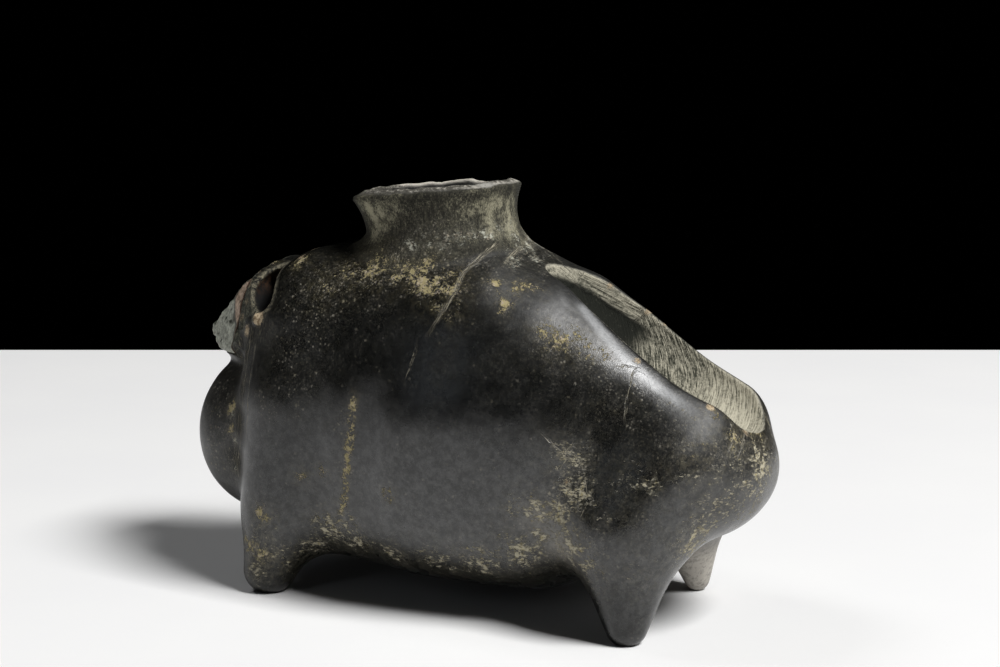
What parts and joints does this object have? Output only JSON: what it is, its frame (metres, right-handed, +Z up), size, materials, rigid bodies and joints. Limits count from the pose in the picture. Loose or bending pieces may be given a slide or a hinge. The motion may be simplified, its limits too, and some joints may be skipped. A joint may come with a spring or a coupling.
{
  "type": "stone effigy vessel",
  "caption": "Hollow four-legged animal carved in black stone, with a short flared neck on its back, a scoop ground into the rump and a broken head",
  "frame": {"origin": "on the ground under the middle of the whole length and width", "axes": "+Z up, the animal faces -X, and -Y is its left side"},
  "size_m": [0.1434, 0.066, 0.0951],
  "materials": {
    "polished_stone": "worn polish with dusty grooves and fresh scratches",
    "broken_stone": "rough grey-green fracture"
  },
  "bodies": {
    "root": {"vessel_body": "polished_stone", "head_fragment": "broken_stone"}
  },
  "joints": []
}
